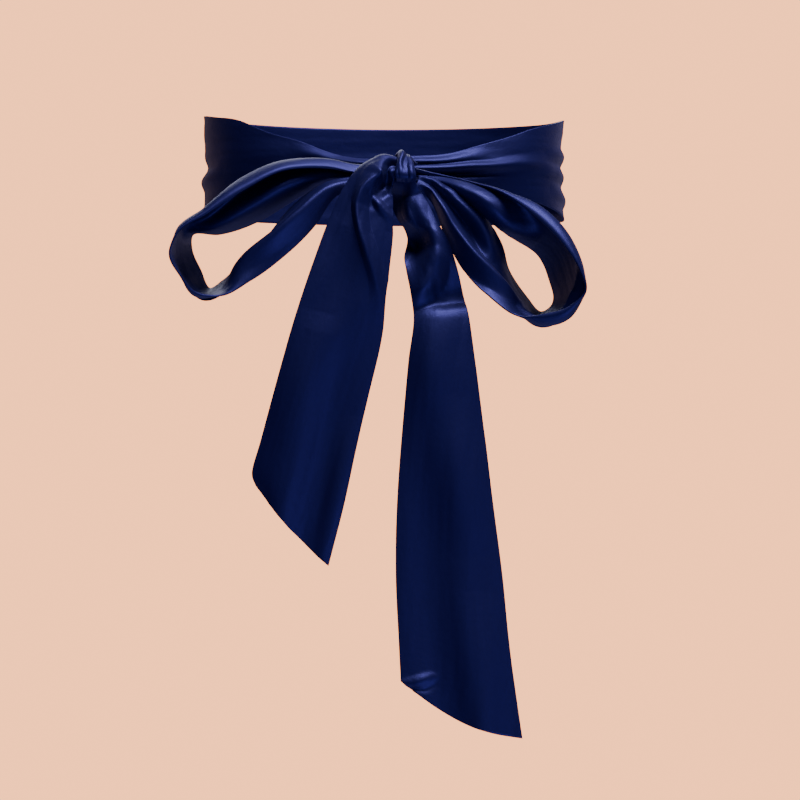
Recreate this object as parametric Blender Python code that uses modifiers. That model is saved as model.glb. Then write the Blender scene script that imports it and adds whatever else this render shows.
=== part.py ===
# Satin waist sash, wound once round the waist and tied in a bow at the front.
# Millimetres in the tables, metres in Blender. The front is -Y and up is +Z.
# The origin is the middle of the waist ring, half way up the band at the sides.
import math
from collections import namedtuple

import bmesh
import bpy
import numpy as np

MM = 0.001
WALL = 1.3
RING_HALF_WIDTH = 134.0
RING_HALF_DEPTH = 100.0
MERGE = 0.00001

# Grid steps along and across each stretch of the ribbon.
BAND_STEPS = (72, 10)
LOOP_STEPS = (44, 11)
TAIL_STEPS = (30, 12)
KNOT_STEPS = (14, 7)

CLOTH_COLOUR = (0.006, 0.009, 0.075, 1.0)
CLOTH_ROUGHNESS = 0.42

# Each ribbon is drawn between two selvedges. A station gives both selvedges, how far
# the cloth swells out between them, and where across the width that swell is highest.
Station = namedtuple("Station", "near_x near_z near_y far_x far_z far_y swell peak")

# A fold runs along the ribbon. Its crest moves from one place across the width to
# another, and it is raised (or sunk, if negative) between two places along the length.
Fold = namedtuple("Fold", "across_from across_to breadth height start end ease")

# The band is given by the angle from the front (+ towards the right hand side of the
# picture), its lower and upper edge, how far its middle swells out or is drawn in, and
# how far the knot pulls it forward.
BandRow = namedtuple("BandRow", "angle low high swell forward")

# The knot is a short wrap over the crossing, from behind, over the top, to its lip.
WrapRow = namedtuple("WrapRow", "left right depth height swell")

LOOP_LEFT = [
    # near_x near_z near_y  far_x   far_z  far_y swell peak
    Station(9.0, -20.0, -139, 9.0, -15.5, -131, -1, 0.5),
    Station(-19.0, -24.0, -141, -22.0, -17.5, -130, -2, 0.5),
    Station(-33.5, -30.5, -143, -42.0, -20.5, -126, -4, 0.5),
    Station(-48.5, -51.5, -146, -64.5, -35.5, -117, -7, 0.5),
    Station(-69.0, -72.0, -150, -85.0, -59.0, -110, -9, 0.45),
    Station(-92.0, -89.5, -156, -102.0, -75.5, -105, -6, 0.4),
    Station(-113.0, -100.0, -162, -115.0, -87.5, -102, 5, 0.3),
    Station(-129.0, -98.0, -167, -124.0, -93.0, -101, 6, 0.3),
    Station(-139.5, -87.0, -170, -130.5, -80.5, -100, 4, 0.4),
    Station(-147.5, -70.0, -171, -137.0, -65.0, -99, 1, 0.5),
    Station(-142.0, -56.5, -170, -136.5, -54.5, -99, 4, 0.4),
    Station(-122.5, -43.5, -168, -117.0, -53.0, -99, 7, 0.3),
    Station(-96.0, -26.0, -162, -86.5, -44.0, -100, 14, 0.28),
    Station(-67.0, -12.0, -153, -61.0, -30.0, -103, 11, 0.28),
    Station(-39.5, -11.0, -143, -43.5, -20.0, -109, 8, 0.3),
    Station(-19.0, -13.0, -137, -21.0, -14.5, -106.2, 3, 0.4),
    Station(11.0, -10.5, -131, 11.0, -12.0, -108.8, 1, 0.5),
]

LOOP_RIGHT = [
    Station(20.0, -8.5, -133, 20.0, -12.0, -109.6, 1, 0.5),
    Station(40.0, -13.0, -140, 39.0, -19.0, -107, 2, 0.4),
    Station(61.0, -18.5, -149, 57.5, -33.0, -108, 3, 0.35),
    Station(85.0, -29.0, -158, 77.5, -46.0, -103, 5, 0.3),
    Station(107.0, -46.0, -165, 97.5, -58.0, -99, 8, 0.28),
    Station(125.0, -64.5, -169, 112.0, -70.0, -98, 8, 0.28),
    Station(136.5, -82.5, -171, 118.5, -84.5, -97, 5, 0.35),
    Station(139.5, -99.0, -170, 122.0, -100.0, -98, 3, 0.4),
    Station(129.5, -113.0, -168, 119.0, -106.5, -99, 5, 0.3),
    Station(112.5, -113.0, -165, 112.0, -109.5, -101, 8, 0.3),
    Station(95.5, -114.0, -160, 101.0, -97.5, -104, 3, 0.3),
    Station(76.0, -102.0, -155, 90.0, -81.5, -109, -5, 0.45),
    Station(58.0, -81.0, -150, 83.5, -62.5, -117, -7, 0.45),
    Station(45.0, -59.0, -148, 70.5, -42.0, -125, -5, 0.5),
    Station(37.0, -40.5, -147, 49.5, -24.5, -131, -3, 0.5),
    Station(31.0, -29.0, -145, 36.0, -17.0, -133, -1, 0.5),
    Station(24.0, -21.0, -141, 24.0, -15.5, -131, 0, 0.5),
]

# On the tails the near selvedge is the left one and the far selvedge the right one.
TAIL_LEFT = [
    Station(11.0, -3.0, -145.5, 11.0, -12.5, -150, 0, 0.5),
    Station(0.5, 0.0, -147, 8.0, -17.0, -148.5, 2, 0.5),
    Station(-13.0, -5.5, -151, 6.5, -23.0, -150, 5, 0.5),
    Station(-26.0, -21.5, -152, 6.5, -33.0, -151, 6, 0.5),
    Station(-36.5, -43.5, -151, 7.0, -53.5, -150, 5, 0.5),
    Station(-47.5, -73.0, -149, 4.0, -85.0, -147, 5, 0.5),
    Station(-61.0, -112.5, -148, -0.5, -127.0, -146, 6, 0.5),
    Station(-74.0, -158.5, -148, -10.0, -168.5, -149, 7, 0.5),
    Station(-85.5, -200.5, -148, -19.5, -209.0, -153, 7, 0.5),
    Station(-91.5, -223.5, -149, -28.5, -250.5, -156, 6, 0.5),
    Station(-89.0, -232.0, -150, -38.0, -288.0, -159, 4, 0.5),
]

TAIL_RIGHT = [
    Station(11.0, -16.5, -143.7, 21.5, -16.5, -143.7, 1, 0.5),
    Station(7.5, -28.0, -144, 28.5, -28.0, -140, 5, 0.45),
    Station(9.0, -39.5, -147, 35.0, -39.0, -139, 7, 0.45),
    Station(14.5, -52.0, -147, 41.5, -53.0, -140, 7, 0.45),
    Station(15.0, -71.5, -146, 49.0, -71.0, -143, 6, 0.45),
    Station(19.5, -97.5, -147, 56.0, -94.0, -146, 4, 0.5),
    Station(21.5, -110.5, -148, 59.0, -108.0, -147, 4, 0.5),
    Station(18.0, -146.0, -149, 64.5, -146.0, -149, 5, 0.5),
    Station(13.5, -193.5, -151, 70.5, -193.5, -151, 6, 0.5),
    Station(10.0, -242.5, -153, 76.5, -242.0, -154, 6, 0.5),
    Station(9.0, -294.5, -156, 83.5, -296.5, -157, 5, 0.5),
    Station(11.0, -339.5, -159, 88.5, -346.5, -160, 4, 0.5),
    Station(12.5, -368.5, -161, 97.0, -408.0, -164, 3, 0.5),
]

BAND = [
    # angle low high swell forward
    BandRow(6, -24.0, 1.0, 1, 8),
    BandRow(20, -25.0, 3.5, 1, 5),
    BandRow(31, -26.0, 10.5, 1, 2),
    BandRow(43, -26.0, 18.0, 0, 0),
    BandRow(52, -27.5, 24.0, 0, 0),
    BandRow(70, -33.0, 31.0, -2, 0),
    BandRow(86, -38.0, 35.5, -3, 0),
    BandRow(120, -38.0, 37.0, -2, 0),
    BandRow(180, -37.0, 38.0, 0, 0),
    BandRow(240, -36.0, 39.0, 0, 0),
    BandRow(272, -36.0, 39.0, -1, 0),
    BandRow(294, -34.0, 35.0, -1, 0),
    BandRow(308, -31.0, 31.0, 0, 0),
    BandRow(322, -28.0, 20.5, 0, 0),
    BandRow(333, -26.0, 13.5, 1, 1),
    BandRow(346, -25.0, 2.5, 1, 3),
    BandRow(353, -24.0, -0.5, 1, 6),
]

KNOT = [
    # left right depth height swell
    WrapRow(10.0, 22.0, -111.8, -8.0, 0),
    WrapRow(9.0, 23.0, -113.3, -2.0, 0),
    WrapRow(9.5, 22.0, -122, 1.5, 1),
    WrapRow(10.5, 19.5, -139, 1.5, 2),
    WrapRow(9.5, 22.5, -149, -3.0, 2),
    WrapRow(9.0, 23.0, -152.5, -9.0, 2),
    WrapRow(10.0, 22.5, -151, -15.0, 2),
    WrapRow(11.0, 22.0, -146, -18.5, 1),
]

LOOP_LEFT_FOLDS = [
    # across_from across_to breadth height start end ease
    Fold(0.30, 0.35, 5, 3, -1, 0.16, 0.08),
    Fold(0.75, 0.70, 5, 3, -1, 0.14, 0.08),
    Fold(0.55, 0.60, 12, -3, 0.10, 0.40, 0.10),
    Fold(0.25, 0.20, 6, 3, 0.86, 2, 0.08),
    Fold(0.70, 0.65, 6, 3, 0.82, 2, 0.08),
    Fold(0.45, 0.40, 14, -3, 0.62, 0.86, 0.10),
]

LOOP_RIGHT_FOLDS = [
    Fold(0.30, 0.25, 6, 3, -1, 0.20, 0.10),
    Fold(0.75, 0.60, 6, 3, -1, 0.22, 0.10),
    Fold(0.28, 0.30, 8, -7, 0.64, 2, 0.08),
    Fold(0.55, 0.55, 7, 5, 0.70, 0.97, 0.08),
    Fold(0.80, 0.75, 8, -5, 0.66, 0.95, 0.08),
]

TAIL_LEFT_FOLDS = [
    Fold(0.30, 0.25, 8, 5, 0.05, 0.32, 0.06),
    Fold(0.55, 0.52, 7, -4, 0.06, 0.20, 0.05),
    Fold(0.62, 0.98, 9, 5, 0.08, 0.42, 0.08),
    Fold(0.20, 0.30, 22, -4, 0.40, 1.20, 0.20),
    Fold(0.75, 0.70, 20, 3, 0.50, 1.30, 0.20),
]

TAIL_RIGHT_FOLDS = [
    Fold(0.30, 0.25, 7, -6, 0.06, 0.20, 0.05),
    Fold(0.62, 0.62, 8, 8, 0.03, 0.17, 0.05),
    Fold(0.72, 0.15, 10, 6, 0.14, 0.30, 0.05),
    Fold(0.30, 0.35, 24, 3, 0.35, 1.20, 0.20),
    Fold(0.72, 0.68, 22, -3, 0.45, 1.20, 0.20),
]

# The pleats that run out of the knot into the band, and the creases round the back.
BAND_FOLDS = [
    Fold(0.50, 0.46, 6, -3, -1, 0.26, 0.10),
    Fold(0.22, 0.25, 6, 3, -1, 0.18, 0.08),
    Fold(0.80, 0.75, 6, 3, -1, 0.16, 0.08),
    Fold(0.62, 0.55, 7, -2, 0.12, 0.42, 0.06),
    Fold(0.30, 0.36, 9, -2, 0.20, 0.60, 0.10),
    Fold(0.45, 0.40, 10, -2, 0.45, 0.86, 0.10),
    Fold(0.50, 0.50, 6, -3, 0.86, 2, 0.08),
    Fold(0.25, 0.22, 6, 3, 0.90, 2, 0.06),
    Fold(0.78, 0.80, 6, 3, 0.90, 2, 0.06),
]

KNOT_FOLDS = [
    Fold(0.50, 0.35, 5, -2, 0.10, 0.80, 0.15),
]

# The slant-cut ends bow downwards over the last part of each tail.
TAIL_LEFT_END_BOW = 3.0
TAIL_RIGHT_END_BOW = 9.0
END_BOW_REACH = 0.12

# A pressed-in fold line crosses the right tail, as parts of the tail's length.
CREASE_PLACE = 0.315
CREASE_LENGTH = 0.02
CREASE_DEPTH = 3.0


def smooth_step(value):
    value = np.clip(value, 0.0, 1.0)
    return value * value * (3.0 - 2.0 * value)


def curve_through(knots, rows, places):
    """Smooth curve through the rows, with slopes taken from the neighbours."""
    slopes = np.gradient(rows, knots, axis=0)
    index = np.clip(np.searchsorted(knots, places, side="right") - 1, 0, len(knots) - 2)
    span = (knots[index + 1] - knots[index])[:, None]
    step = (places[:, None] - knots[index][:, None]) / span
    start, end = rows[index], rows[index + 1]
    lead, trail = slopes[index] * span, slopes[index + 1] * span
    return (
        start * (1 + 2 * step) * (1 - step) ** 2
        + lead * step * (1 - step) ** 2
        + end * step ** 2 * (3 - 2 * step)
        + trail * step ** 2 * (step - 1)
    )


def fold_height(folds, along, across, width):
    """Sum of the folds' raised cosines at one place on the ribbon."""
    total = np.zeros_like(across)
    for fold in folds:
        progress = np.clip((along - max(fold.start, 0)) / (min(fold.end, 1) - max(fold.start, 0)), 0, 1)
        crest = fold.across_from + (fold.across_to - fold.across_from) * progress
        reach = np.clip(np.abs(across - crest) * width / fold.breadth, 0, 1)
        strength = smooth_step((along - fold.start) / fold.ease) * smooth_step((fold.end - along) / fold.ease)
        total += fold.height * strength * (0.5 + 0.5 * np.cos(math.pi * reach))
    return total


def ribbon_points(near, far, swell, peak, folds, places, across, closed=False):
    """Points of a swelling, folded ribbon between two selvedge curves."""
    middle = (near + far) / 2
    if closed:
        run = np.roll(middle, -1, axis=0) - np.roll(middle, 1, axis=0)
    else:
        run = np.gradient(middle, axis=0)
    chord = far - near
    width = np.linalg.norm(chord, axis=1)
    outward = np.cross(run, chord)
    outward /= np.linalg.norm(outward, axis=1)[:, None]
    points = []
    for row, along in enumerate(places):
        arch = np.sin(math.pi * across ** (math.log(0.5) / math.log(peak[row])))
        lift = swell[row] * arch + fold_height(folds, along, across, width[row])
        points.append(near[row] + across[:, None] * chord[row] + lift[:, None] * outward[row])
    return np.array(points)


def station_points(stations, folds, steps, end_bow=0.0):
    """Ribbon through its stations, which are spaced by the length between them."""
    steps_along, steps_across = steps
    rows = np.array([
        (s.near_x, s.near_y, s.near_z, s.far_x, s.far_y, s.far_z, s.swell, s.peak) for s in stations
    ], dtype=float)
    middle = (rows[:, 0:3] + rows[:, 3:6]) / 2
    lengths = np.linalg.norm(np.diff(middle, axis=0), axis=1)
    knots = np.concatenate([[0.0], np.cumsum(lengths)])
    knots /= knots[-1]
    places = np.linspace(0.0, 1.0, steps_along + 1)
    across = np.linspace(0.0, 1.0, steps_across + 1)
    table = curve_through(knots, rows, places)
    points = ribbon_points(table[:, 0:3], table[:, 3:6], table[:, 6], table[:, 7], folds, places, across)
    run = np.gradient(points, axis=0)
    run /= np.linalg.norm(run, axis=2)[:, :, None]
    bow = end_bow * smooth_step((places - 1 + END_BOW_REACH) / END_BOW_REACH)
    return points + run * bow[:, None, None] * np.sin(math.pi * across)[None, :, None]


def band_points():
    """Band all round the waist, its two selvedges on the waist's ellipse."""
    steps_round, steps_across = BAND_STEPS
    rows = np.array([(row.low, row.high, row.swell, row.forward) for row in BAND], dtype=float)
    angles = np.array([row.angle for row in BAND], dtype=float)
    rows = np.vstack([rows[-1], rows, rows[0]])
    angles = np.concatenate([[angles[-1] - 360], angles, [angles[0] + 360]])
    places = np.linspace(0.0, 1.0, steps_round, endpoint=False)
    turn = angles[1] + 360 * places
    table = curve_through(angles, rows, turn)
    turn = np.radians(turn)
    ring = np.column_stack([RING_HALF_WIDTH * np.sin(turn), -RING_HALF_DEPTH * np.cos(turn) - table[:, 3]])
    low = np.column_stack([ring, table[:, 0]])
    high = np.column_stack([ring, table[:, 1]])
    peak = np.full(steps_round, 0.5)
    across = np.linspace(0.0, 1.0, steps_across + 1)
    return ribbon_points(low, high, table[:, 2], peak, BAND_FOLDS, places, across, closed=True)


def knot_points():
    stations = [
        Station(r.left, r.height, r.depth, r.right, r.height, r.depth, r.swell, 0.5) for r in KNOT
    ]
    return station_points(stations, KNOT_FOLDS, KNOT_STEPS)


def crease_across(points):
    """Cross crease of the right tail, a dip that fades towards both selvedges."""
    places = np.linspace(0.0, 1.0, points.shape[0])
    across = np.linspace(0.0, 1.0, points.shape[1])
    dip = np.exp(-((places - CREASE_PLACE) / CREASE_LENGTH) ** 2)
    points[:, :, 1] += CREASE_DEPTH * dip[:, None] * np.sin(math.pi * across)[None, :] ** 0.5
    return points


def cloth_material():
    material = bpy.data.materials.new("navy_satin")
    material.use_nodes = True
    shader = material.node_tree.nodes["Principled BSDF"]
    shader.inputs["Base Color"].default_value = CLOTH_COLOUR
    shader.inputs["Roughness"].default_value = CLOTH_ROUGHNESS
    shader.inputs["Metallic"].default_value = 0.0
    return material


def cloth_object(name, points, material, collection, closed=False):
    """A grid laid on the points, given the thickness of the sewn double layer."""
    rows, columns = points.shape[0], points.shape[1]
    grid_rows = rows + 1 if closed else rows
    bm = bmesh.new()
    bmesh.ops.create_grid(bm, x_segments=grid_rows - 1, y_segments=columns - 1, size=0.5)
    for vert in bm.verts:
        row = round((vert.co.x + 0.5) * (grid_rows - 1)) % rows
        column = round((vert.co.y + 0.5) * (columns - 1))
        vert.co = points[row, column] * MM
    bmesh.ops.remove_doubles(bm, verts=bm.verts, dist=MERGE)
    mesh = bpy.data.meshes.new(name)
    bm.to_mesh(mesh)
    bm.free()
    mesh.shade_smooth()
    mesh.materials.append(material)
    piece = bpy.data.objects.new(name, mesh)
    collection.objects.link(piece)
    thickness = piece.modifiers.new("wall", "SOLIDIFY")
    thickness.thickness = WALL * MM
    thickness.offset = 0.0
    return piece


def build():
    for item in list(bpy.data.objects):
        bpy.data.objects.remove(item, do_unlink=True)
    collection = bpy.data.collections.new("waist_sash")
    bpy.context.scene.collection.children.link(collection)
    material = cloth_material()
    tail_right = station_points(TAIL_RIGHT, TAIL_RIGHT_FOLDS, TAIL_STEPS, TAIL_RIGHT_END_BOW)
    pieces = {
        "loop_left": station_points(LOOP_LEFT, LOOP_LEFT_FOLDS, LOOP_STEPS),
        "loop_right": station_points(LOOP_RIGHT, LOOP_RIGHT_FOLDS, LOOP_STEPS),
        "tail_left": station_points(TAIL_LEFT, TAIL_LEFT_FOLDS, TAIL_STEPS, TAIL_LEFT_END_BOW),
        "tail_right": crease_across(tail_right),
        "knot": knot_points(),
    }
    cloth_object("waist_band", band_points(), material, collection, closed=True)
    for name, points in pieces.items():
        cloth_object(name, points, material, collection)


build()
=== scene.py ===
import math
from collections import namedtuple

import bmesh
import bpy
import numpy as np
from mathutils import Euler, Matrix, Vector, noise


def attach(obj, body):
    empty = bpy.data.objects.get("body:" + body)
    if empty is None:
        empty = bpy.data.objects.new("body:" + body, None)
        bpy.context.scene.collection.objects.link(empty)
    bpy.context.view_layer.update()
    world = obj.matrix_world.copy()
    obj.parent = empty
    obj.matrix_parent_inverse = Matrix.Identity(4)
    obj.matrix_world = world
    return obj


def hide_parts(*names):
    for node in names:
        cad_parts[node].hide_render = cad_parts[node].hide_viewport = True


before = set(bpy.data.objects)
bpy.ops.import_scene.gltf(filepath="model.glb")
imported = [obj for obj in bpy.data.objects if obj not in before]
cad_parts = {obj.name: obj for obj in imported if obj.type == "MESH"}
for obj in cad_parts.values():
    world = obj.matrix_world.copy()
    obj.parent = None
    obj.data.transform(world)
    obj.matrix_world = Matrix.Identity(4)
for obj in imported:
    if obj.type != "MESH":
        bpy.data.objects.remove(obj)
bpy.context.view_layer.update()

# Satin waist sash tied in a bow. Each stretch that shows is a ribbon, laid through the
# stations of its table and folded by the rows under them.
# The tables are in millimetres, the meshes in metres.
mm = 0.001

# A station gives both selvedges of the ribbon, how far the cloth swells out between
# them, and where across the width that swell is highest.
Station = namedtuple("Station", "nearX nearZ nearY farX farZ farY swell peak")

# A fold follows its crests, each with its place along and across the ribbon, its height
# and its breadth. It leans to one side by a share of its height, and its two faces are
# round (facet 0) or flat with a crest line between them (facet 1).
Crest = namedtuple("Crest", "along across height breadth")
Fold = namedtuple("Fold", "lean facet crests")

# A cross crease is a groove over the ribbon, steeper on one side than on the other.
Crease = namedtuple("Crease", "place slant depth above below acrossFrom acrossTo")

# A row of the waist band, by its angle round the waist from the front: its lower and
# upper edge, its swell, and how far it is pulled forward by the knot.
BandRow = namedtuple("BandRow", "angle low high swell forward")

foldLook = {
    "crestRound": 0.15,        # how far a sharp crest is rounded, as a share of its breadth
    "smallestBreadth": 1.0,
    "creaseRound": 0.2,        # the same for the bottom of a cross crease
    "creaseFade": 0.12,        # share of the width over which a crease fades out
    "endBowFrom": 0.88,        # where along a tail its cut end begins to bow out
}


def smoothStep(value):
    value = np.clip(value, 0.0, 1.0)
    return value * value * (3.0 - 2.0 * value)


# A smooth curve through the rows of a table, with one row at each knot.
def curveThrough(knots, rows, places):
    slopes = np.gradient(rows, knots, axis=0)
    index = np.clip(np.searchsorted(knots, places, side="right") - 1, 0, len(knots) - 2)
    span = (knots[index + 1] - knots[index])[:, None]
    step = (places[:, None] - knots[index][:, None]) / span
    start, end = rows[index], rows[index + 1]
    lead, trail = slopes[index] * span, slopes[index + 1] * span
    return (
        start * (1 + 2 * step) * (1 - step) ** 2
        + lead * step * (1 - step) ** 2
        + end * step ** 2 * (3 - 2 * step)
        + trail * step ** 2 * (step - 1)
    )


# The height of a fold's side, from 1 at the crest to 0 at its foot.
def foldShape(reach, facet):
    crest = foldLook["crestRound"]
    reach = np.clip(reach, 0.0, 1.0)
    soft = 0.5 + 0.5 * np.cos(math.pi * reach)
    flat = 1 - (np.sqrt(reach ** 2 + crest ** 2) - crest) / (math.sqrt(1 + crest ** 2) - crest)
    return (1 - facet) * soft + facet * flat


# How far the folds lift the cloth, and how far they lean across its width.
def foldLift(folds, places, across, width):
    lift = np.zeros((len(places), len(across)))
    shift = np.zeros_like(lift)
    for fold in folds:
        crests = np.array(fold.crests, dtype=float)
        held = np.clip(places, crests[0, 0], crests[-1, 0])
        path = curveThrough(crests[:, 0], crests[:, 1:], held)
        away = np.abs(across[None, :] - path[:, 0:1]) * width[:, None]
        breadth = np.maximum(path[:, 2:3], foldLook["smallestBreadth"])
        rise = path[:, 1:2] * foldShape(away / breadth, fold.facet)
        lift += rise
        shift += fold.lean * rise
    return lift, shift


# How deep the cross creases sink in one row of points.
def creaseDip(creases, along, across, length):
    dip = np.zeros_like(across)
    bottom, fade = foldLook["creaseRound"], foldLook["creaseFade"]
    for crease in creases:
        line = crease.place + crease.slant * (across - 0.5)
        away = (along - line) * length
        reach = np.where(away < 0, -away / crease.above, away / crease.below)
        depth = crease.depth * np.exp(bottom - np.sqrt(reach ** 2 + bottom ** 2))
        fromStart = smoothStep((across - crease.acrossFrom) / fade)
        toEnd = smoothStep((crease.acrossTo - across) / fade)
        dip -= depth * fromStart * toEnd
    return dip


# The rows of points of a ribbon, from its two selvedges, its swell and its folds.
def ribbonPoints(near, far, swell, peak, piece, places, across, length, closed=False):
    middle = (near + far) / 2
    if closed:
        run = np.roll(middle, -1, axis=0) - np.roll(middle, 1, axis=0)
    else:
        run = np.gradient(middle, axis=0)
    chord = far - near
    width = np.linalg.norm(chord, axis=1)
    outward = np.cross(run, chord)
    outward /= np.linalg.norm(outward, axis=1)[:, None]
    lift, shift = foldLift(piece["folds"], places, across, width)
    bend = np.log(0.5) / np.log(peak)  # puts the top of the half wave at the peak
    lift += swell[:, None] * np.sin(math.pi * across[None, :] ** bend[:, None])
    for row, along in enumerate(places):
        lift[row] += creaseDip(piece["creases"], along, across, length)
    return (
        near[:, None, :]
        + across[None, :, None] * chord[:, None, :]
        + shift[:, :, None] * (chord / width[:, None])[:, None, :]
        + lift[:, :, None] * outward[:, None, :]
    )


# The points of a loop, a tail or the knot, laid through its stations.
def stationGrid(piece):
    stations = piece["stations"]
    stepsAlong, stepsAcross = piece["steps"]
    rows = np.array([
        (s.nearX, s.nearY, s.nearZ, s.farX, s.farY, s.farZ, s.swell, s.peak) for s in stations
    ], dtype=float)
    middle = (rows[:, 0:3] + rows[:, 3:6]) / 2
    lengths = np.linalg.norm(np.diff(middle, axis=0), axis=1)
    knots = np.concatenate([[0.0], np.cumsum(lengths)])
    total = knots[-1]
    knots /= total
    places = np.linspace(0.0, 1.0, stepsAlong + 1)
    across = np.linspace(0.0, 1.0, stepsAcross + 1)
    table = curveThrough(knots, rows, places)
    points = ribbonPoints(
        table[:, 0:3], table[:, 3:6], table[:, 6], table[:, 7], piece, places, across, total
    )
    run = np.gradient(points, axis=0)
    run /= np.linalg.norm(run, axis=2)[:, :, None]
    bowFrom = foldLook["endBowFrom"]
    bow = piece["endBow"] * smoothStep((places - bowFrom) / (1 - bowFrom))
    return points + run * bow[:, None, None] * np.sin(math.pi * across)[None, :, None]


# The points of the band, round its ring.
def bandGrid(piece):
    stepsRound, stepsAcross = piece["steps"]
    rows = np.array([
        (row.low, row.high, row.swell, row.forward) for row in piece["rows"]
    ], dtype=float)
    angles = np.array([row.angle for row in piece["rows"]], dtype=float)
    rows = np.vstack([rows[-1], rows, rows[0]])  # the last and first row join the ring
    angles = np.concatenate([[angles[-1] - 360], angles, [angles[0] + 360]])
    places = np.linspace(0.0, 1.0, stepsRound, endpoint=False)
    turn = angles[1] + 360 * places  # degrees
    table = curveThrough(angles, rows, turn)
    turn = np.radians(turn)
    ring = np.column_stack([
        piece["halfWidth"] * np.sin(turn),
        -piece["halfDepth"] * np.cos(turn) - table[:, 3],
    ])
    low = np.column_stack([ring, table[:, 0]])
    high = np.column_stack([ring, table[:, 1]])
    peak = np.full(stepsRound, 0.5)  # the band swells most half way up
    across = np.linspace(0.0, 1.0, stepsAcross + 1)
    length = math.pi * (piece["halfWidth"] + piece["halfDepth"])
    return ribbonPoints(low, high, table[:, 2], peak, piece, places, across, length, closed=True)


wrinkleLook = {
    "fineShare": 0.35,         # height of the finer wrinkles beside the long ones
    "fineScale": 2.7,
    "gatherBoost": 1.6,        # how much deeper they are where the knot gathers the cloth
    "gatherReach": 28.0,
}


# The distance run along each line of points, with 0 at its first point.
def runLength(points, axis):
    first = np.take(points, [0], axis=axis)
    steps = np.linalg.norm(np.diff(points, axis=axis, prepend=first), axis=-1)
    return np.cumsum(steps, axis=axis)


def unitNormals(run, side):
    normal = np.cross(run, side)
    return normal / np.linalg.norm(normal, axis=2)[:, :, None]


# Long low wrinkles run along the ribbon, each piece with its own streak height and sizes.
# Round the closed band they follow the ring's own place, so they meet at its seam.
def softWrinkles(points, piece, closed):
    run = np.gradient(points, axis=0)
    if closed:
        run = np.roll(points, -1, axis=0) - np.roll(points, 1, axis=0)
    normal = unitNormals(run, np.gradient(points, axis=1))
    alongAt = runLength(points[:, points.shape[1] // 2], axis=0)
    sideAt = runLength(points, axis=1)
    long, wide = piece["streakLong"], piece["streakWide"]
    streak = np.zeros(points.shape[:2])
    for row in range(points.shape[0]):
        for column in range(points.shape[1]):
            if closed:
                x, y, z = points[row, column]
                place = Vector((x / long, y / long, z / wide))
            else:
                place = Vector((alongAt[row] / long, sideAt[row, column] / wide, piece["seed"]))
            fine = noise.noise(place * wrinkleLook["fineScale"])
            streak[row, column] = noise.noise(place) + wrinkleLook["fineShare"] * fine
    gather = np.zeros(len(alongAt))
    if not closed:
        ends = alongAt if piece["oneRoot"] else np.minimum(alongAt, alongAt[-1] - alongAt)
        gather = wrinkleLook["gatherBoost"] * np.exp(-ends / wrinkleLook["gatherReach"])
    return points + normal * (streak * (1 + gather[:, None]))[:, :, None] * piece["streak"]


turnedLook = {
    "from": 0.06,              # share of the length at each root with no more than rootDepth
    "fade": 0.14,
    "rootDepth": 2.5,
    "rootRadius": 0.95,
    "radius": 1.7,
    "curl": (45.0, 90.0, 135.0),
    "steps": 16,
}


def sampled(steps, away, rows):
    return np.column_stack([np.interp(steps, away, rows[:, axis]) for axis in range(3)])


# The back selvedge is turned over to the outside, so the strand hides part of its width.
def turnedEdge(points, piece):
    start, fade = turnedLook["from"], turnedLook["fade"]
    rootDepth, rootRadius = turnedLook["rootDepth"], turnedLook["rootRadius"]
    places = np.linspace(0.0, 1.0, len(points))
    reach = smoothStep((places - start) / fade) * smoothStep((1 - start - places) / fade)
    normal = unitNormals(np.gradient(points, axis=0), np.gradient(points, axis=1))
    inward, turned = points[:, ::-1], normal[:, ::-1]
    away = runLength(inward, axis=1)
    bend = np.radians(turnedLook["curl"])[:, None]
    flap = []
    for row, grown in enumerate(reach):
        radius = rootRadius + (turnedLook["radius"] - rootRadius) * grown
        depth = rootDepth + (piece["turned"] - rootDepth) * grown
        out = inward[row, 0] - inward[row, 1]
        out /= np.linalg.norm(out)
        curl = np.sin(bend) * out + (1 - np.cos(bend)) * turned[row, 0]
        steps = np.linspace(0.0, depth, turnedLook["steps"])
        back = sampled(steps, away[row], inward[row])
        face = sampled(steps, away[row], turned[row])
        flap.append(np.vstack([inward[row, 0] + radius * curl, back + 2 * radius * face]))
    return np.concatenate([points, np.array(flap)], axis=1)


seamMerge = 0.01  # millimetres, closes the seam of the band


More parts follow.
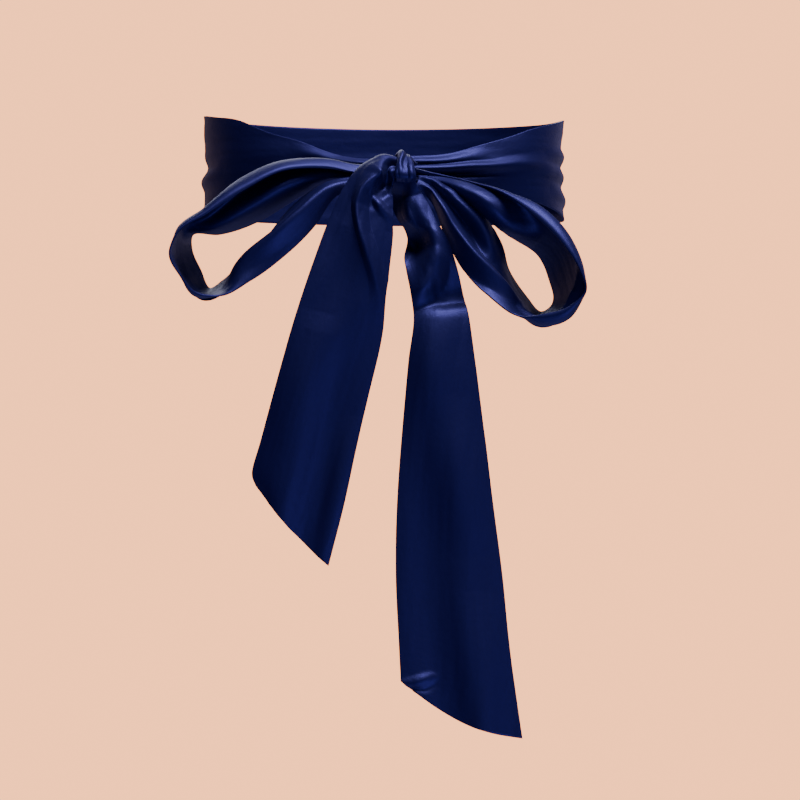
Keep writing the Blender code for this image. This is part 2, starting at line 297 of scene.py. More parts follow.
# A flat grid takes its lengths as its UV map, and is then laid on the ribbon's points.
def clothPiece(name, node, points, piece, material, closed=False):
    points = softWrinkles(points, piece, closed)
    if "turned" in piece:
        points = turnedEdge(points, piece)
    rows, columns = points.shape[0], points.shape[1]
    alongAt = runLength(points[:, columns // 2], axis=0)
    if closed:
        alongAt = np.append(alongAt, alongAt[-1] + np.linalg.norm(points[0, 0] - points[-1, 0]))
    sideAt = runLength(points[rows // 2], axis=0)
    cellsLong, cellsWide = len(alongAt) - 1, columns - 1
    mesh = bpy.data.meshes.new(name)
    bm = bmesh.new()
    bmesh.ops.create_grid(bm, x_segments=cellsLong, y_segments=cellsWide, size=0.5)

    def rowAndColumn(corner):
        return round((corner.x + 0.5) * cellsLong), round((corner.y + 0.5) * cellsWide)

    weave = bm.loops.layers.uv.new("UVMap")
    for face in bm.faces:
        face.smooth = True
        for loop in face.loops:
            row, column = rowAndColumn(loop.vert.co)
            loop[weave].uv = (alongAt[row] * mm, sideAt[column] * mm)
    for vert in bm.verts:
        row, column = rowAndColumn(vert.co)
        vert.co = Vector(points[row % rows, column]) * mm
    bmesh.ops.remove_doubles(bm, verts=bm.verts, dist=seamMerge * mm)
    bm.to_mesh(mesh)
    bm.free()
    mesh.materials.append(material)
    cloth = bpy.data.objects.new(name, mesh)
    bpy.context.scene.collection.objects.link(cloth)
    wall = cloth.modifiers.new("doubleLayer", "SOLIDIFY")
    wall.thickness = piece["wall"] * mm
    wall.offset = 0.0
    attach(cloth, "root")
    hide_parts(node)
    print("made", name)


# The camera stands straight in front, as the photograph's does.
cameraLook = {
    "place": (0.0119, -2.33, -0.1725),
    "lens": 140.4,
    "sensor": 36.0,
}

cameraData = bpy.data.cameras.new("camera")
cameraData.lens = cameraLook["lens"]
cameraData.sensor_width = cameraLook["sensor"]
cameraObject = bpy.data.objects.new("camera", cameraData)
cameraObject.location = cameraLook["place"]
cameraObject.rotation_euler = Euler((math.pi / 2, 0, 0))
bpy.context.scene.collection.objects.link(cameraObject)
bpy.context.scene.camera = cameraObject
print("camera ready")

satinLook = {
    "colour": (0.0006, 0.0003, 0.017, 1.0),
    "lightColour": (0.0012, 0.0007, 0.027, 1.0),
    "roughness": 0.52,
    "sheen": 0.02,
    "sheenColour": (0.30, 0.32, 1.0, 1.0),
    "specular": 1.0,
    "specularColour": (0.21, 0.21, 1.0, 1.0),
    "threadUnit": 0.00035,     # metres, which puts a thread every 0.11 mm
    "threadHeight": 0.00001,   # metres
    "crumpleSize": 0.005,      # metres
    "crumpleHeight": 0.00027,  # metres
    "threadDistortion": 0.6,
    "threadDetail": 1.0,
    "slubsPerMetre": (60.0, 900.0, 1.0),
    "slubDetail": 3.0,
    "crumpleDetail": 4.0,
    "crumpleRoughness": 0.6,
    "bump": 0.8,
}


# Threads, slubs and fine crumples as one height, and the slubs alone as a tone.
def satinWeaveGroup():
    group = bpy.data.node_groups.new("satinWeave", "ShaderNodeTree")
    face = group.interface
    face.new_socket("Cloth", in_out="INPUT", socket_type="NodeSocketVector")
    for name in ("Threads", "Thread Height", "Crumple", "Crumple Height"):
        face.new_socket(name, in_out="INPUT", socket_type="NodeSocketFloat")
    face.new_socket("Height", in_out="OUTPUT", socket_type="NodeSocketFloat")
    face.new_socket("Tone", in_out="OUTPUT", socket_type="NodeSocketFloat")
    nodes, links = group.nodes, group.links
    given = nodes.new("NodeGroupInput")
    result = nodes.new("NodeGroupOutput")

    def combine(operation, first, second):
        node = nodes.new("ShaderNodeMath")
        node.operation = operation
        links.new(first, node.inputs[0])
        links.new(second, node.inputs[1])
        return node.outputs[0]

    scaled = nodes.new("ShaderNodeVectorMath")
    scaled.operation = "SCALE"
    links.new(given.outputs["Cloth"], scaled.inputs[0])
    links.new(given.outputs["Threads"], scaled.inputs["Scale"])
    lines = nodes.new("ShaderNodeTexWave")
    lines.wave_type = "BANDS"
    lines.bands_direction = "Y"
    lines.inputs["Scale"].default_value = 1.0
    lines.inputs["Distortion"].default_value = satinLook["threadDistortion"]
    lines.inputs["Detail"].default_value = satinLook["threadDetail"]
    links.new(scaled.outputs[0], lines.inputs["Vector"])
    stretch = nodes.new("ShaderNodeMapping")
    stretch.inputs["Scale"].default_value = satinLook["slubsPerMetre"]
    links.new(given.outputs["Cloth"], stretch.inputs["Vector"])
    slubs = nodes.new("ShaderNodeTexNoise")
    slubs.inputs["Scale"].default_value = 1.0
    slubs.inputs["Detail"].default_value = satinLook["slubDetail"]
    links.new(stretch.outputs[0], slubs.inputs["Vector"])
    crumple = nodes.new("ShaderNodeTexNoise")
    crumple.inputs["Detail"].default_value = satinLook["crumpleDetail"]
    crumple.inputs["Roughness"].default_value = satinLook["crumpleRoughness"]
    links.new(given.outputs["Cloth"], crumple.inputs["Vector"])
    links.new(given.outputs["Crumple"], crumple.inputs["Scale"])
    yarn = combine("ADD", lines.outputs["Fac"], slubs.outputs["Fac"])
    threads = combine("MULTIPLY", yarn, given.outputs["Thread Height"])
    waves = combine("MULTIPLY", crumple.outputs["Fac"], given.outputs["Crumple Height"])
    links.new(combine("ADD", threads, waves), result.inputs["Height"])
    links.new(slubs.outputs["Fac"], result.inputs["Tone"])
    return group


def satinMaterial():
    material = bpy.data.materials.new("navySatin")
    material.use_nodes = True
    nodes, links = material.node_tree.nodes, material.node_tree.links
    shader = nodes["Principled BSDF"]
    cloth = nodes.new("ShaderNodeUVMap")
    cloth.uv_map = "UVMap"
    weave = nodes.new("ShaderNodeGroup")
    weave.node_tree = satinWeaveGroup()
    weave.inputs["Threads"].default_value = 1.0 / satinLook["threadUnit"]
    weave.inputs["Thread Height"].default_value = satinLook["threadHeight"]
    weave.inputs["Crumple"].default_value = 1.0 / satinLook["crumpleSize"]
    weave.inputs["Crumple Height"].default_value = satinLook["crumpleHeight"]
    links.new(cloth.outputs["UV"], weave.inputs["Cloth"])
    tone = nodes.new("ShaderNodeMix")
    tone.data_type = "RGBA"
    tone.inputs["A"].default_value = satinLook["colour"]
    tone.inputs["B"].default_value = satinLook["lightColour"]
    links.new(weave.outputs["Tone"], tone.inputs["Factor"])
    links.new(tone.outputs["Result"], shader.inputs["Base Color"])
    bump = nodes.new("ShaderNodeBump")
    bump.inputs["Strength"].default_value = satinLook["bump"]
    bump.inputs["Distance"].default_value = 1.0
    links.new(weave.outputs["Height"], bump.inputs["Height"])
    links.new(bump.outputs["Normal"], shader.inputs["Normal"])
    shader.inputs["Roughness"].default_value = satinLook["roughness"]
    shader.inputs["Sheen Weight"].default_value = satinLook["sheen"]
    shader.inputs["Sheen Tint"].default_value = satinLook["sheenColour"]
    shader.inputs["Specular IOR Level"].default_value = satinLook["specular"]
    shader.inputs["Specular Tint"].default_value = satinLook["specularColour"]
    return material


satin = satinMaterial()
print("satin ready")

# The turn round the waist, gathered towards the knot at the front.
waistBand = {
    "halfWidth": 134.0,
    "halfDepth": 100.0,
    "steps": (420, 60),
    "cloth": (0.08, 0.75),
    "held": "gathered",
    "restsOn": ["knot"],
    "wall": 1.2,
    "streak": 0.5,
    "streakLong": 70,
    "streakWide": 10,
    "rows": [
        BandRow(6, -24.0, 1.0, 1, 8),
        BandRow(20, -25.0, 3.5, 3, 5),
        BandRow(31, -26.0, 10.5, 4, 2),
        BandRow(43, -26.0, 18.0, 4, 0),
        BandRow(52, -27.5, 24.0, 3, 0),
        BandRow(70, -33.0, 31.0, 1, 0),
        BandRow(86, -38.0, 35.5, -3, 0),
        BandRow(120, -38.0, 37.0, -2, 0),
        BandRow(180, -37.0, 38.0, 0, 0),
        BandRow(240, -36.0, 39.0, 0, 0),
        BandRow(272, -36.0, 39.0, -1, 0),
        BandRow(294, -34.0, 35.0, 1, 0),
        BandRow(308, -31.0, 31.0, 3, 0),
        BandRow(322, -28.0, 20.5, 4, 0),
        BandRow(333, -26.0, 13.5, 3, 1),
        BandRow(346, -25.0, 2.5, 1, 3),
        BandRow(353, -24.0, -0.5, 1, 6),
    ],
    "folds": [
        Fold(0.2, 0.3, [
            Crest(0, 0.62, 3, 4),
            Crest(0.055, 0.6, 4, 5),
            Crest(0.074, 0.54, 4, 6),
            Crest(0.107, 0.5, 3, 9),
            Crest(0.17, 0.48, 0, 12),
        ]),
        Fold(0, 0.2, [
            Crest(0, 0.48, -2, 4),
            Crest(0.055, 0.46, -2.5, 4),
            Crest(0.107, 0.42, -1.5, 6),
            Crest(0.155, 0.4, 0, 8),
        ]),
        Fold(0, 0.2, [
            Crest(0, 0.85, 2.5, 3),
            Crest(0.04, 0.84, 2.5, 4),
            Crest(0.08, 0.8, 0, 7),
        ]),
        Fold(0, 0.2, [
            Crest(0, 0.33, 2, 3),
            Crest(0.05, 0.27, 1.2, 5),
            Crest(0.09, 0.22, 0, 8),
        ]),
        Fold(0, 0.2, [
            Crest(0, 0.15, 2.5, 3),
            Crest(0.05, 0.1, 2.5, 4),
            Crest(0.09, 0.08, 0, 8),
        ]),
        Fold(0, 0.3, [
            Crest(0.15, 0.66, 0, 8),
            Crest(0.21, 0.62, 2.4, 8),
            Crest(0.25, 0.61, 2.4, 8),
            Crest(0.33, 0.58, 0, 9),
        ]),
        Fold(0, 0.3, [
            Crest(0.14, 0.44, 0, 8),
            Crest(0.21, 0.41, 2.4, 7),
            Crest(0.25, 0.4, 2.4, 7),
            Crest(0.31, 0.42, 0, 9),
        ]),
        Fold(0, 0.3, [
            Crest(0.16, 0.22, 0, 8),
            Crest(0.21, 0.19, 2.4, 7),
            Crest(0.25, 0.18, 2.4, 7),
            Crest(0.34, 0.22, 0, 9),
        ]),
        Fold(0, 0, [
            Crest(0.3, 0.75, 0, 9),
            Crest(0.38, 0.68, -2, 9),
            Crest(0.46, 0.66, 0, 9),
        ]),
        Fold(0, 0, [
            Crest(0.33, 0.34, 0, 9),
            Crest(0.42, 0.3, 2, 10),
            Crest(0.55, 0.34, 0, 10),
        ]),
        Fold(0, 0, [
            Crest(0.46, 0.52, 0, 9),
            Crest(0.56, 0.58, -2, 10),
            Crest(0.66, 0.56, 0, 10),
        ]),
        Fold(0, 0.3, [
            Crest(0.62, 0.4, 0, 9),
            Crest(0.7, 0.35, 2.6, 8),
            Crest(0.745, 0.33, 2.6, 8),
            Crest(0.82, 0.4, 0, 9),
        ]),
        Fold(0, 0.2, [
            Crest(0.66, 0.52, 0, 9),
            Crest(0.71, 0.49, -2.2, 8),
            Crest(0.745, 0.48, -2.2, 8),
            Crest(0.81, 0.5, 0, 9),
        ]),
        Fold(0, 0.2, [
            Crest(0.9, 0.8, 0, 8),
            Crest(0.94, 0.86, 2.5, 4),
            Crest(1, 0.85, 2.5, 3),
        ]),
        Fold(0, 0.2, [
            Crest(0.9, 0.5, 0, 9),
            Crest(0.94, 0.6, 3, 5),
            Crest(1, 0.62, 3, 4),
        ]),
        Fold(0, 0.2, [
            Crest(0.9, 0.25, 0, 9),
            Crest(0.95, 0.33, 2.5, 4),
            Crest(1, 0.33, 2.5, 3),
        ]),
        Fold(0, 0.2, [
            Crest(0.92, 0.12, 0, 8),
            Crest(0.96, 0.15, 2.5, 4),
            Crest(1, 0.15, 2.5, 3),
        ]),
    ],
    "creases": [],
}

clothPiece("bandCloth", "waist_band", bandGrid(waistBand), waistBand, satin, closed=True)

# The left loop, from the knot out along its upper strand, round and back below.
loopLeft = {
    "steps": (300, 80),
    "cloth": (0.08, 0.40),
    "held": "gathered",
    "restsOn": ["knot"],
    "wall": 1.2,
    "endBow": 0.0,
    "oneRoot": False,
    "turned": 24,  # millimetres of the back selvedge that are turned over
    "streak": 0.35,
    "streakLong": 60,
    "streakWide": 11,
    "seed": 2,
    "stations": [
        Station(7.0, -20.0, -136.5, 7.0, -15.5, -130, -1, 0.5),
        Station(-19.0, -23.9, -139.5, -22.0, -17.6, -132, -3, 0.5),
        Station(-33.5, -30.6, -144, -41.8, -21.2, -137, -6, 0.5),
        Station(-48.5, -51.6, -147, -63.8, -36.7, -137, -9, 0.5),
        Station(-69.0, -72.0, -150, -83.9, -60.3, -134, -10, 0.45),
        Station(-92.1, -89.4, -154, -100.8, -76.5, -128, -8, 0.4),
        Station(-113.2, -99.9, -159, -114.0, -88.2, -119, 0, 0.3),
        Station(-129.2, -97.8, -163, -123.3, -93.4, -112, 4, 0.3),
        Station(-139.6, -86.9, -168, -130.1, -80.7, -106, 3, 0.4),
        Station(-147.6, -70.0, -170, -136.7, -65.2, -104, 1, 0.5),
        Station(-142.1, -56.4, -169, -136.1, -54.9, -106, 4, 0.4),
        Station(-122.6, -43.4, -166, -116.3, -53.7, -111, 8, 0.3),
        Station(-96.1, -25.9, -160, -85.7, -44.9, -117, 13, 0.28),
        Station(-67.0, -11.9, -152, -60.4, -31.1, -121, 11, 0.28),
        Station(-39.5, -11.0, -143, -43.3, -20.8, -120, 8, 0.3),
        Station(-19.0, -13.0, -137, -20.8, -15.2, -117, 4, 0.4),
        Station(12.5, -10.5, -131, 12.5, -12.6, -117, 1, 0.5),
    ],
    "folds": [
        Fold(0, 0.3, [
            Crest(0, 0.3, -3, 4),
            Crest(0.09, 0.3, -3, 5),
            Crest(0.17, 0.34, -2, 7),
            Crest(0.26, 0.36, 0, 9),
        ]),
        Fold(0, 0.3, [
            Crest(0, 0.78, -3, 4),
            Crest(0.08, 0.74, -3, 5),
            Crest(0.15, 0.7, 0, 8),
        ]),
        Fold(0, 0.3, [
            Crest(0, 0.54, 2.5, 4),
            Crest(0.09, 0.52, 2.5, 5),
            Crest(0.18, 0.54, 0, 8),
        ]),
        Fold(0, 0, [
            Crest(0.12, 0.4, 0, 7),
            Crest(0.2, 0.42, -4, 8),
            Crest(0.3, 0.44, -5, 9),
            Crest(0.4, 0.46, 0, 11),
        ]),
        Fold(0, 0, [
            Crest(0.44, 0.3, 0, 14),
            Crest(0.5, 0.35, 2, 16),
            Crest(0.58, 0.3, 0, 16),
        ]),
        Fold(2, 0, [
            Crest(0.54, 0.78, 0, 16),
            Crest(0.61, 0.78, -6, 18),
            Crest(0.69, 0.78, -9, 20),
            Crest(0.78, 0.78, -9, 18),
            Crest(0.86, 0.78, -5, 12),
            Crest(0.93, 0.75, -3, 6),
            Crest(1, 0.75, -3, 4),
        ]),
        Fold(0, 0.2, [
            Crest(0.62, 0.3, 0, 9),
            Crest(0.72, 0.22, 3, 9),
            Crest(0.84, 0.2, 4, 8),
            Crest(0.93, 0.25, 3, 5),
            Crest(1, 0.25, 3, 4),
        ]),
        Fold(0, 0.2, [
            Crest(0.8, 0.55, 0, 8),
            Crest(0.88, 0.52, 3, 6),
            Crest(1, 0.5, 2.5, 4),
        ]),
    ],
    "creases": [],
}

clothPiece("leftLoopCloth", "loop_left", stationGrid(loopLeft), loopLeft, satin)

# The right loop, in the same order.
loopRight = {
    "steps": (280, 80),
    "cloth": (0.08, 0.34),
    "held": "gathered",
    "restsOn": ["knot"],
    "wall": 1.2,
    "endBow": 0.0,
    "oneRoot": False,
    "turned": 24,  # millimetres of the back selvedge that are turned over
    "streak": 0.35,
    "streakLong": 60,
    "streakWide": 11,
    "seed": 3,
    "stations": [
        Station(14.5, -6.5, -129, 14.5, -14.0, -118, 0, 0.5),
        Station(40.0, -13.0, -131, 39.0, -22.1, -120, 1, 0.3),
        Station(61.2, -19.0, -137, 57.3, -33.9, -125, 3, 0.28),
        Station(85.4, -28.4, -148, 76.8, -47.4, -127, 8, 0.28),
        Station(107.2, -45.6, -159, 96.8, -59.0, -118, 13, 0.26),
        Station(125.2, -64.4, -166, 111.5, -70.5, -110, 11, 0.28),
        Station(136.7, -82.4, -168, 118.2, -84.8, -104, 7, 0.32),
        Station(139.6, -98.9, -168, 121.7, -100.2, -104, 4, 0.4),
        Station(127.0, -108.7, -166, 118.7, -106.7, -105, 9, 0.25),
        Station(114.0, -112.1, -163, 111.6, -109.8, -110, 10, 0.25),
        Station(95.5, -114.0, -160, 100.5, -97.9, -116, 2, 0.3),
        Station(76.0, -102.0, -155, 89.5, -82.2, -125, -3, 0.45),
        Station(58.1, -80.9, -147, 83.0, -63.2, -132, -4, 0.45),
        Station(45.1, -58.6, -141, 70.2, -42.7, -136, -4, 0.5),
        Station(37.2, -39.8, -137, 49.4, -24.8, -136, -5, 0.5),
        Station(31.1, -28.3, -135, 36.0, -16.9, -131, -2, 0.5),
        Station(24.0, -20.7, -137, 24.0, -15.5, -131, 0, 0.5),
    ],
    "folds": [
        Fold(0, 0.3, [
            Crest(0, 0.22, -3, 3.5),
            Crest(0.07, 0.2, -3, 4.5),
            Crest(0.13, 0.16, -2, 6),
            Crest(0.2, 0.12, 0, 8),
        ]),
        Fold(0, 0.3, [
            Crest(0, 0.45, 3, 3.5),
            Crest(0.09, 0.4, 3, 4.5),
            Crest(0.15, 0.36, 2, 6),
            Crest(0.21, 0.32, 0, 9),
        ]),
        Fold(1, 0.1, [
            Crest(0, 0.7, -3, 3.5),
            Crest(0.08, 0.66, -7, 8),
            Crest(0.16, 0.7, -12, 14),
            Crest(0.23, 0.76, -14, 17),
            Crest(0.29, 0.82, -8, 16),
            Crest(0.36, 0.86, 0, 14),
        ]),
        Fold(0, 0.3, [
            Crest(0, 0.92, 2.5, 3),
            Crest(0.07, 0.86, 2.5, 4),
            Crest(0.14, 0.8, 0, 6),
        ]),
        Fold(0, 0.2, [
            Crest(0.44, 0.3, 0, 9),
            Crest(0.5, 0.24, -8, 8),
            Crest(0.56, 0.26, -8, 8),
            Crest(0.64, 0.4, 0, 10),
        ]),
        Fold(0, 0.5, [
            Crest(0.6, 0.6, 0, 9),
            Crest(0.65, 0.45, -3, 9),
            Crest(0.71, 0.33, -6, 8),
            Crest(0.76, 0.24, -8, 8),
            Crest(0.815, 0.2, -8.5, 7),
            Crest(0.88, 0.2, -7.5, 6),
            Crest(0.935, 0.3, -3.5, 5),
            Crest(1, 0.3, -3, 4),
        ]),
        Fold(0, 0.4, [
            Crest(0.74, 0.66, 0, 8),
            Crest(0.79, 0.72, -4, 8),
            Crest(0.84, 0.8, -5, 8),
            Crest(0.885, 0.79, -4.5, 7),
            Crest(0.945, 0.76, -3.5, 5),
            Crest(1, 0.76, -3, 4),
        ]),
        Fold(0, 0.2, [
            Crest(0.76, 0.5, 0, 6),
            Crest(0.8, 0.52, 3.5, 7),
            Crest(0.88, 0.54, 4, 6),
            Crest(1, 0.52, 3, 4),
        ]),
        Fold(0, 0.2, [
            Crest(0.7, 0.02, 0, 5),
            Crest(0.76, 0.02, 4, 7),
            Crest(0.9, 0.02, 4, 6),
            Crest(1, 0.05, 3, 4),
        ]),
        Fold(0, 0, [
            Crest(0.895, 0.9, 0, 3),
            Crest(0.92, 0.92, -2.5, 3.5),
            Crest(0.94, 0.86, 0, 3),
        ]),
    ],
    "creases": [],
}

clothPiece("rightLoopCloth", "loop_right", stationGrid(loopRight), loopRight, satin)

# The shorter tail, from the knot down to its slant end.
tailLeft = {
    "steps": (240, 100),
    "cloth": (0.08, 0.285),
    "held": "hung",
    "restsOn": ["knot"],
    "wall": 1.2,
    "endBow": 3.0,
    "oneRoot": True,  # the knot gathers it at its first end alone
    "streak": 0.5,
    "streakLong": 90,
    "streakWide": 12,
    "seed": 4,
    "stations": [
        Station(11.0, -2.8, -141, 11.0, -12.4, -146, 0, 0.5),
        Station(0.5, 0.0, -141, 8.0, -17.0, -146, 4, 0.4),
        Station(-13.0, -5.5, -142, 6.5, -23.0, -147, 7, 0.42),
        Station(-25.9, -21.7, -150, 6.5, -33.1, -151, 6, 0.48),
        Station(-36.3, -43.8, -154.5, 7.0, -53.8, -155, 5, 0.5),
        Station(-47.3, -73.4, -158, 4.0, -85.4, -157, 6, 0.5),
        Station(-60.5, -112.9, -159.5, -0.4, -127.3, -158, 5, 0.5),
        Station(-73.5, -158.6, -158, -9.9, -168.5, -157.5, 5, 0.5),
        Station(-85.0, -200.4, -156, -19.4, -208.9, -156.5, 5, 0.5),
        Station(-91.1, -223.3, -154, -28.4, -250.4, -155.5, 5, 0.5),
        Station(-88.7, -231.8, -153, -38.0, -288.0, -155, 4, 0.5),
    ],
    "folds": [
        Fold(0.8, 0.2, [
            Crest(0, 0.3, 0, 6),
            Crest(0.025, 0.25, 2, 8),
            Crest(0.05, 0.3, 7, 11),
            Crest(0.075, 0.33, 9, 12),
            Crest(0.1, 0.33, 7, 11),
            Crest(0.13, 0.36, 3, 10),
            Crest(0.16, 0.4, 0, 10),
        ]),
        Fold(-0.45, 0.7, [
            Crest(0.09, 0.33, 0, 8),
            Crest(0.12, 0.33, 3.5, 5),
            Crest(0.15, 0.40, 6, 6),
            Crest(0.19, 0.47, 7, 6),
            Crest(0.225, 0.56, 7, 6),
            Crest(0.27, 0.7, 6, 7),
            Crest(0.34, 0.88, 4, 8),
            Crest(0.45, 1, 0, 12),
        ]),
        Fold(0, 0, [
            Crest(0, 0.5, -3, 5),
            Crest(0.02, 0.48, -4, 6),
            Crest(0.035, 0.52, -4, 6),
            Crest(0.05, 0.6, 0, 6),
        ]),
        Fold(0, 0, [
            Crest(0.03, 0.85, 0, 8),
            Crest(0.055, 0.78, -8, 10),
            Crest(0.085, 0.74, -10, 11),
            Crest(0.11, 0.7, -7, 8),
            Crest(0.14, 0.64, -2.5, 6),
            Crest(0.17, 0.62, 0, 6),
        ]),
        Fold(-0.3, 0.5, [
            Crest(0.1, 0.6, 0, 6),
            Crest(0.12, 0.62, 2.5, 6),
            Crest(0.135, 0.66, 3.5, 6),
            Crest(0.153, 0.79, 3.5, 7),
            Crest(0.175, 0.96, 2, 8),
            Crest(0.21, 1, 0, 9),
        ]),
        Fold(0, 0, [
            Crest(0.22, 0.3, 0, 18),
            Crest(0.34, 0.4, -3, 22),
            Crest(0.5, 0.35, 0, 26),
        ]),
        Fold(0, 0, [
            Crest(0.45, 0.25, 0, 26),
            Crest(0.62, 0.22, 3.5, 26),
            Crest(0.82, 0.3, 3, 24),
            Crest(1, 0.32, 4, 24),
        ]),
        Fold(0, 0, [
            Crest(0.4, 0.75, 0, 24),
            Crest(0.6, 0.66, -3, 22),
            Crest(0.85, 0.68, -4, 20),
            Crest(1, 0.66, -3, 20),
        ]),
        Fold(0, 0, [
            Crest(0.7, 0.95, 0, 14),
            Crest(0.85, 0.92, 3, 14),
            Crest(1, 0.94, 2, 12),
        ]),
    ],
    "creases": [],
}

clothPiece("leftTailCloth", "tail_left", stationGrid(tailLeft), tailLeft, satin)

# The longer tail, twisted under the knot, with a cross crease below the twist.
tailRight = {
    "steps": (300, 100),
    "cloth": (0.08, 0.385),
    "held": "hung",
    "restsOn": ["knot"],
    "wall": 1.2,
    "endBow": 9.0,
    "oneRoot": True,  # the knot gathers it at its first end alone
    "streak": 0.5,
    "streakLong": 90,
    "streakWide": 12,
    "seed": 5,
    "stations": [
        Station(12.5, -9.5, -134.5, 21.0, -9.5, -139.0, 0, 0.5),
        Station(8.5, -16.5, -136, 21.5, -16.5, -141.5, 1, 0.5),
        Station(6.2, -28.0, -124, 28.5, -28.0, -138, 3, 0.6),
        Station(7.6, -39.0, -125, 34.5, -39.0, -138, 4, 0.6),
        Station(14.7, -51.5, -130, 41.0, -53.0, -140, 5, 0.55),
        Station(15.0, -71.5, -143, 49.0, -71.0, -143, 5, 0.5),
        Station(19.5, -97.5, -146, 56.0, -94.0, -143, 4, 0.5),
        Station(21.5, -110.5, -148, 59.0, -108.0, -146, 4, 0.5),
        Station(18.0, -146.0, -149, 64.5, -146.0, -149, 5, 0.5),
        Station(13.5, -193.5, -149, 70.5, -193.5, -149, 5, 0.5),
        Station(10.0, -242.5, -150, 76.5, -242.0, -151, 5, 0.5),
        Station(9.0, -294.5, -152, 83.5, -296.5, -153, 5, 0.5),
        Station(11.0, -339.5, -155, 88.5, -346.5, -156, 4, 0.5),
        Station(12.5, -368.5, -157, 97.0, -408.0, -160, 3, 0.5),
    ],
    "folds": [
        Fold(0.1, 0.9, [
            Crest(0.029, 0.85, 0, 8),
            Crest(0.054, 0.74, 4, 9),
            Crest(0.078, 0.56, 6.5, 12),
            Crest(0.103, 0.42, 7, 13),
            Crest(0.125, 0.28, 4, 13),
            Crest(0.142, 0.2, 0, 13),
        ]),
        Fold(0.1, 0.5, [
            Crest(0.049, 0.96, 0, 6),
            Crest(0.075, 0.89, 3.5, 8),
            Crest(0.114, 0.86, 6, 10),
            Crest(0.147, 0.78, 6.5, 11),
            Crest(0.171, 0.72, 4, 11),
            Crest(0.201, 0.66, 0, 10),
        ]),
        Fold(0, 0, [
            Crest(0.112, 0.06, 0, 13),
            Crest(0.125, 0.1, -3, 14),
            Crest(0.149, 0.2, -13, 15),
            Crest(0.171, 0.22, -11, 16),
            Crest(0.206, 0.24, -5, 15),
            Crest(0.24, 0.22, 0, 14),
        ]),
        Fold(0, 0.9, [
            Crest(0.166, 0.54, 0, 10),
            Crest(0.186, 0.47, 5, 14),
            Crest(0.211, 0.38, 7.5, 16),
            Crest(0.23, 0.28, 7.5, 16),
            Crest(0.25, 0.17, 5, 14),
            Crest(0.264, 0.09, 2, 12),
            Crest(0.279, 0.06, 0, 10),
        ]),
        Fold(0, 0.2, [
            Crest(0.186, 0.86, 0, 12),
            Crest(0.225, 0.8, -4, 18),
            Crest(0.255, 0.7, -7, 24),
            Crest(0.268, 0.66, -6, 24),
            Crest(0.28, 0.64, -1.5, 24),
            Crest(0.294, 0.62, 0, 20),
        ]),
        Fold(0, 0, [
            Crest(0.274, 0.28, 0, 20),
            Crest(0.372, 0.3, 3, 22),
            Crest(0.51, 0.28, 0, 26),
        ]),
        Fold(0, 0, [
            Crest(0.431, 0.7, 0, 22),
            Crest(0.559, 0.68, 3, 26),
            Crest(0.725, 0.72, 0, 28),
        ]),
        Fold(0, 0, [
            Crest(0.51, 0.3, 0, 24),
            Crest(0.667, 0.35, -4, 26),
            Crest(0.863, 0.32, -4, 24),
            Crest(1, 0.34, -3, 22),
        ]),
        Fold(0, 0, [
            Crest(0.784, 0.75, 0, 24),
            Crest(0.902, 0.72, 3, 24),
            Crest(1, 0.7, 4, 22),
        ]),
        Fold(0, 0.3, [
            Crest(0.936, 0.3, 0, 6),
            Crest(0.961, 0.2, 1.4, 8),
            Crest(0.985, 0.1, 1.4, 8),
            Crest(1, 0.02, 1, 6),
        ]),
    ],
    "creases": [
        Crease(0.2703, -0.01, 3.2, 16.0, 6.0, -0.12, 1.12),
    ],
}

clothPiece("rightTailCloth", "tail_right", stationGrid(tailRight), tailRight, satin)

# The wrap over the crossing, from behind the knot over its top and down the front.
knotWrap = {
    "steps": (80, 40),
    "cloth": (0.02, 0.065),
    "held": "gathered",
    "restsOn": ["waist_band"],
    "wall": 1.2,
    "endBow": 0.0,
    "oneRoot": False,
    "streak": 0.3,
    "streakLong": 12,
    "streakWide": 3,
    "seed": 6,
    "stations": [
        Station(10.0, -8.1, -113.8, 22.0, -8.1, -113.8, 0, 0.5),
        Station(8.5, -4.1, -114.4, 23.0, -5.1, -114.4, 2, 0.45),
        Station(7.5, -3.5, -122, 24.0, -6.0, -122, 5, 0.4),
        Station(8.5, -2.0, -136, 22.5, -6.0, -135, 5.5, 0.32),
        Station(10.6, -1.5, -141.5, 20.0, -5.0, -141, 3.5, 0.32),
        Station(9.8, -5.5, -147, 20.8, -8.0, -146, 2.5, 0.32),
        Station(9.2, -10.0, -151.0, 21.8, -11.0, -150.5, 1.5, 0.3),
        Station(8.8, -15.5, -153.5, 23.0, -16.0, -153, 1.5, 0.35),
        Station(9.6, -19.0, -149, 22.6, -19.0, -149, 1, 0.5),
    ],
    "folds": [
        Fold(0, 0.3, [
            Crest(0.3, 0.12, 0, 3),
            Crest(0.55, 0.2, 1.5, 3),
            Crest(0.75, 0.16, 1.5, 3),
            Crest(0.9, 0.2, 0, 4),
        ]),
        Fold(0, 0.2, [
            Crest(0, 0.5, -2, 4),
            Crest(0.3, 0.45, -1.5, 3),
            Crest(0.6, 0.4, -1, 4),
            Crest(0.9, 0.5, 0, 4),
        ]),
        Fold(0, 0.2, [
            Crest(0.45, 0.85, 0, 3),
            Crest(0.6, 0.85, 1.5, 3),
            Crest(0.85, 0.82, 1.5, 3),
            Crest(1, 0.8, 0, 3),
        ]),
    ],
    "creases": [],
}

clothPiece("knotCloth", "knot", stationGrid(knotWrap), knotWrap, satin)

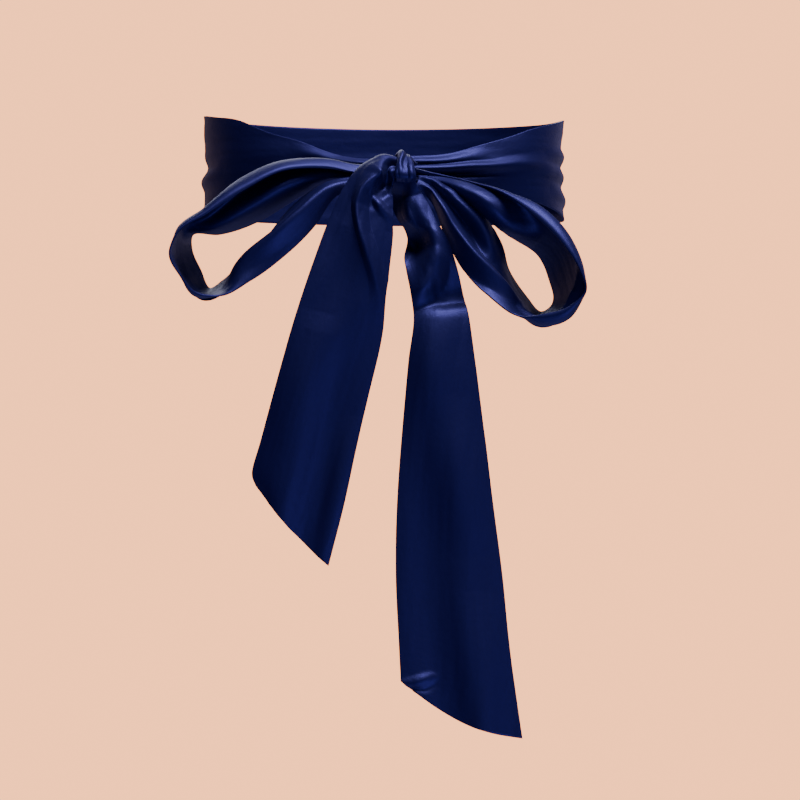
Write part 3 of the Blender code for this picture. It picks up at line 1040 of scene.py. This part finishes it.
stageLook = {
    "floorHeight": -2.0,
    "floorSize": 10.0,
    "floorRoughness": 0.8,
    "floorColour": (0.50, 0.48, 0.78, 1.0),
    "floorGlow": (1.0, 0.42, 0.20, 1.0),
    "floorGlowStrength": 2.0,
    "backdropColour": (1.0, 0.40, 0.17, 1.0),
    "backdropStrength": 3.0,
    "skyColour": (0.42, 0.42, 1.0, 1.0),
    "skyStrength": 0.12,
    "lightsAim": (0.0, -0.1, -0.12),
}

SoftLight = namedtuple("SoftLight", "name place size power colour")

studioLights = [
    SoftLight("keyLight", (0.55, -0.75, 1.85), (1.2, 0.8), 80.0, (1.0, 0.97, 0.98)),
    SoftLight("fillLight", (-0.8, -2.6, 0.5), (1.4, 1.2), 1.8, (0.95, 0.97, 1.0)),
    SoftLight("lowLight", (0.8, -1.2, -1.3), (1.0, 0.8), 10.0, (0.56, 0.52, 1.0)),
    SoftLight("leftWall", (-1.6, 2.0, 0.1), (1.4, 1.6), 3.0, (1.0, 0.62, 0.50)),
    SoftLight("rightWall", (1.6, 2.0, 0.1), (1.4, 1.6), 4.5, (0.95, 0.76, 0.86)),
    SoftLight("backLight", (-0.3, 2.3, 1.4), (1.6, 1.2), 24.0, (0.95, 0.97, 1.0)),
]


def stageFloor():
    bm = bmesh.new()
    bmesh.ops.create_grid(bm, x_segments=4, y_segments=4, size=stageLook["floorSize"] / 2)
    bmesh.ops.translate(bm, verts=bm.verts, vec=(0, 0, stageLook["floorHeight"]))
    mesh = bpy.data.meshes.new("studioFloor")
    bm.to_mesh(mesh)
    bm.free()
    floor = bpy.data.objects.new("studioFloor", mesh)
    bpy.context.scene.collection.objects.link(floor)
    material = bpy.data.materials.new("paleFloor")
    material.use_nodes = True
    shader = material.node_tree.nodes["Principled BSDF"]
    shader.inputs["Base Color"].default_value = stageLook["floorColour"]
    shader.inputs["Roughness"].default_value = stageLook["floorRoughness"]
    shader.inputs["Emission Color"].default_value = stageLook["floorGlow"]
    nodes, links = material.node_tree.nodes, material.node_tree.links
    seen = nodes.new("ShaderNodeLightPath")  # only the camera sees the floor's glow
    glow = nodes.new("ShaderNodeMath")
    glow.operation = "MULTIPLY"
    glow.inputs[1].default_value = stageLook["floorGlowStrength"]
    links.new(seen.outputs["Is Camera Ray"], glow.inputs[0])
    links.new(glow.outputs[0], shader.inputs["Emission Strength"])
    mesh.materials.append(material)


def softLight(lamp):
    data = bpy.data.lights.new(lamp.name, "AREA")
    data.shape = "RECTANGLE"
    data.size, data.size_y = lamp.size
    data.energy = lamp.power
    data.color = lamp.colour
    light = bpy.data.objects.new(lamp.name, data)
    light.location = lamp.place
    aim = Vector(stageLook["lightsAim"]) - Vector(lamp.place)
    light.rotation_euler = aim.to_track_quat("-Z", "Y").to_euler()
    bpy.context.scene.collection.objects.link(light)


# The camera sees a warm pale backdrop, while the cloth is lit by a dim cool sky.
def studioWorld():
    world = bpy.data.worlds.new("studio")
    bpy.context.scene.world = world
    world.use_nodes = True
    nodes, links = world.node_tree.nodes, world.node_tree.links
    sky = nodes["Background"]
    sky.inputs["Color"].default_value = stageLook["skyColour"]
    sky.inputs["Strength"].default_value = stageLook["skyStrength"]
    backdrop = nodes.new("ShaderNodeBackground")
    backdrop.inputs["Color"].default_value = stageLook["backdropColour"]
    backdrop.inputs["Strength"].default_value = stageLook["backdropStrength"]
    seen = nodes.new("ShaderNodeLightPath")
    mix = nodes.new("ShaderNodeMixShader")
    links.new(seen.outputs["Is Camera Ray"], mix.inputs["Fac"])
    links.new(sky.outputs[0], mix.inputs[1])
    links.new(backdrop.outputs[0], mix.inputs[2])
    links.new(mix.outputs[0], nodes["World Output"].inputs["Surface"])


stageFloor()
studioWorld()
for lamp in studioLights:
    softLight(lamp)
print("stage ready")
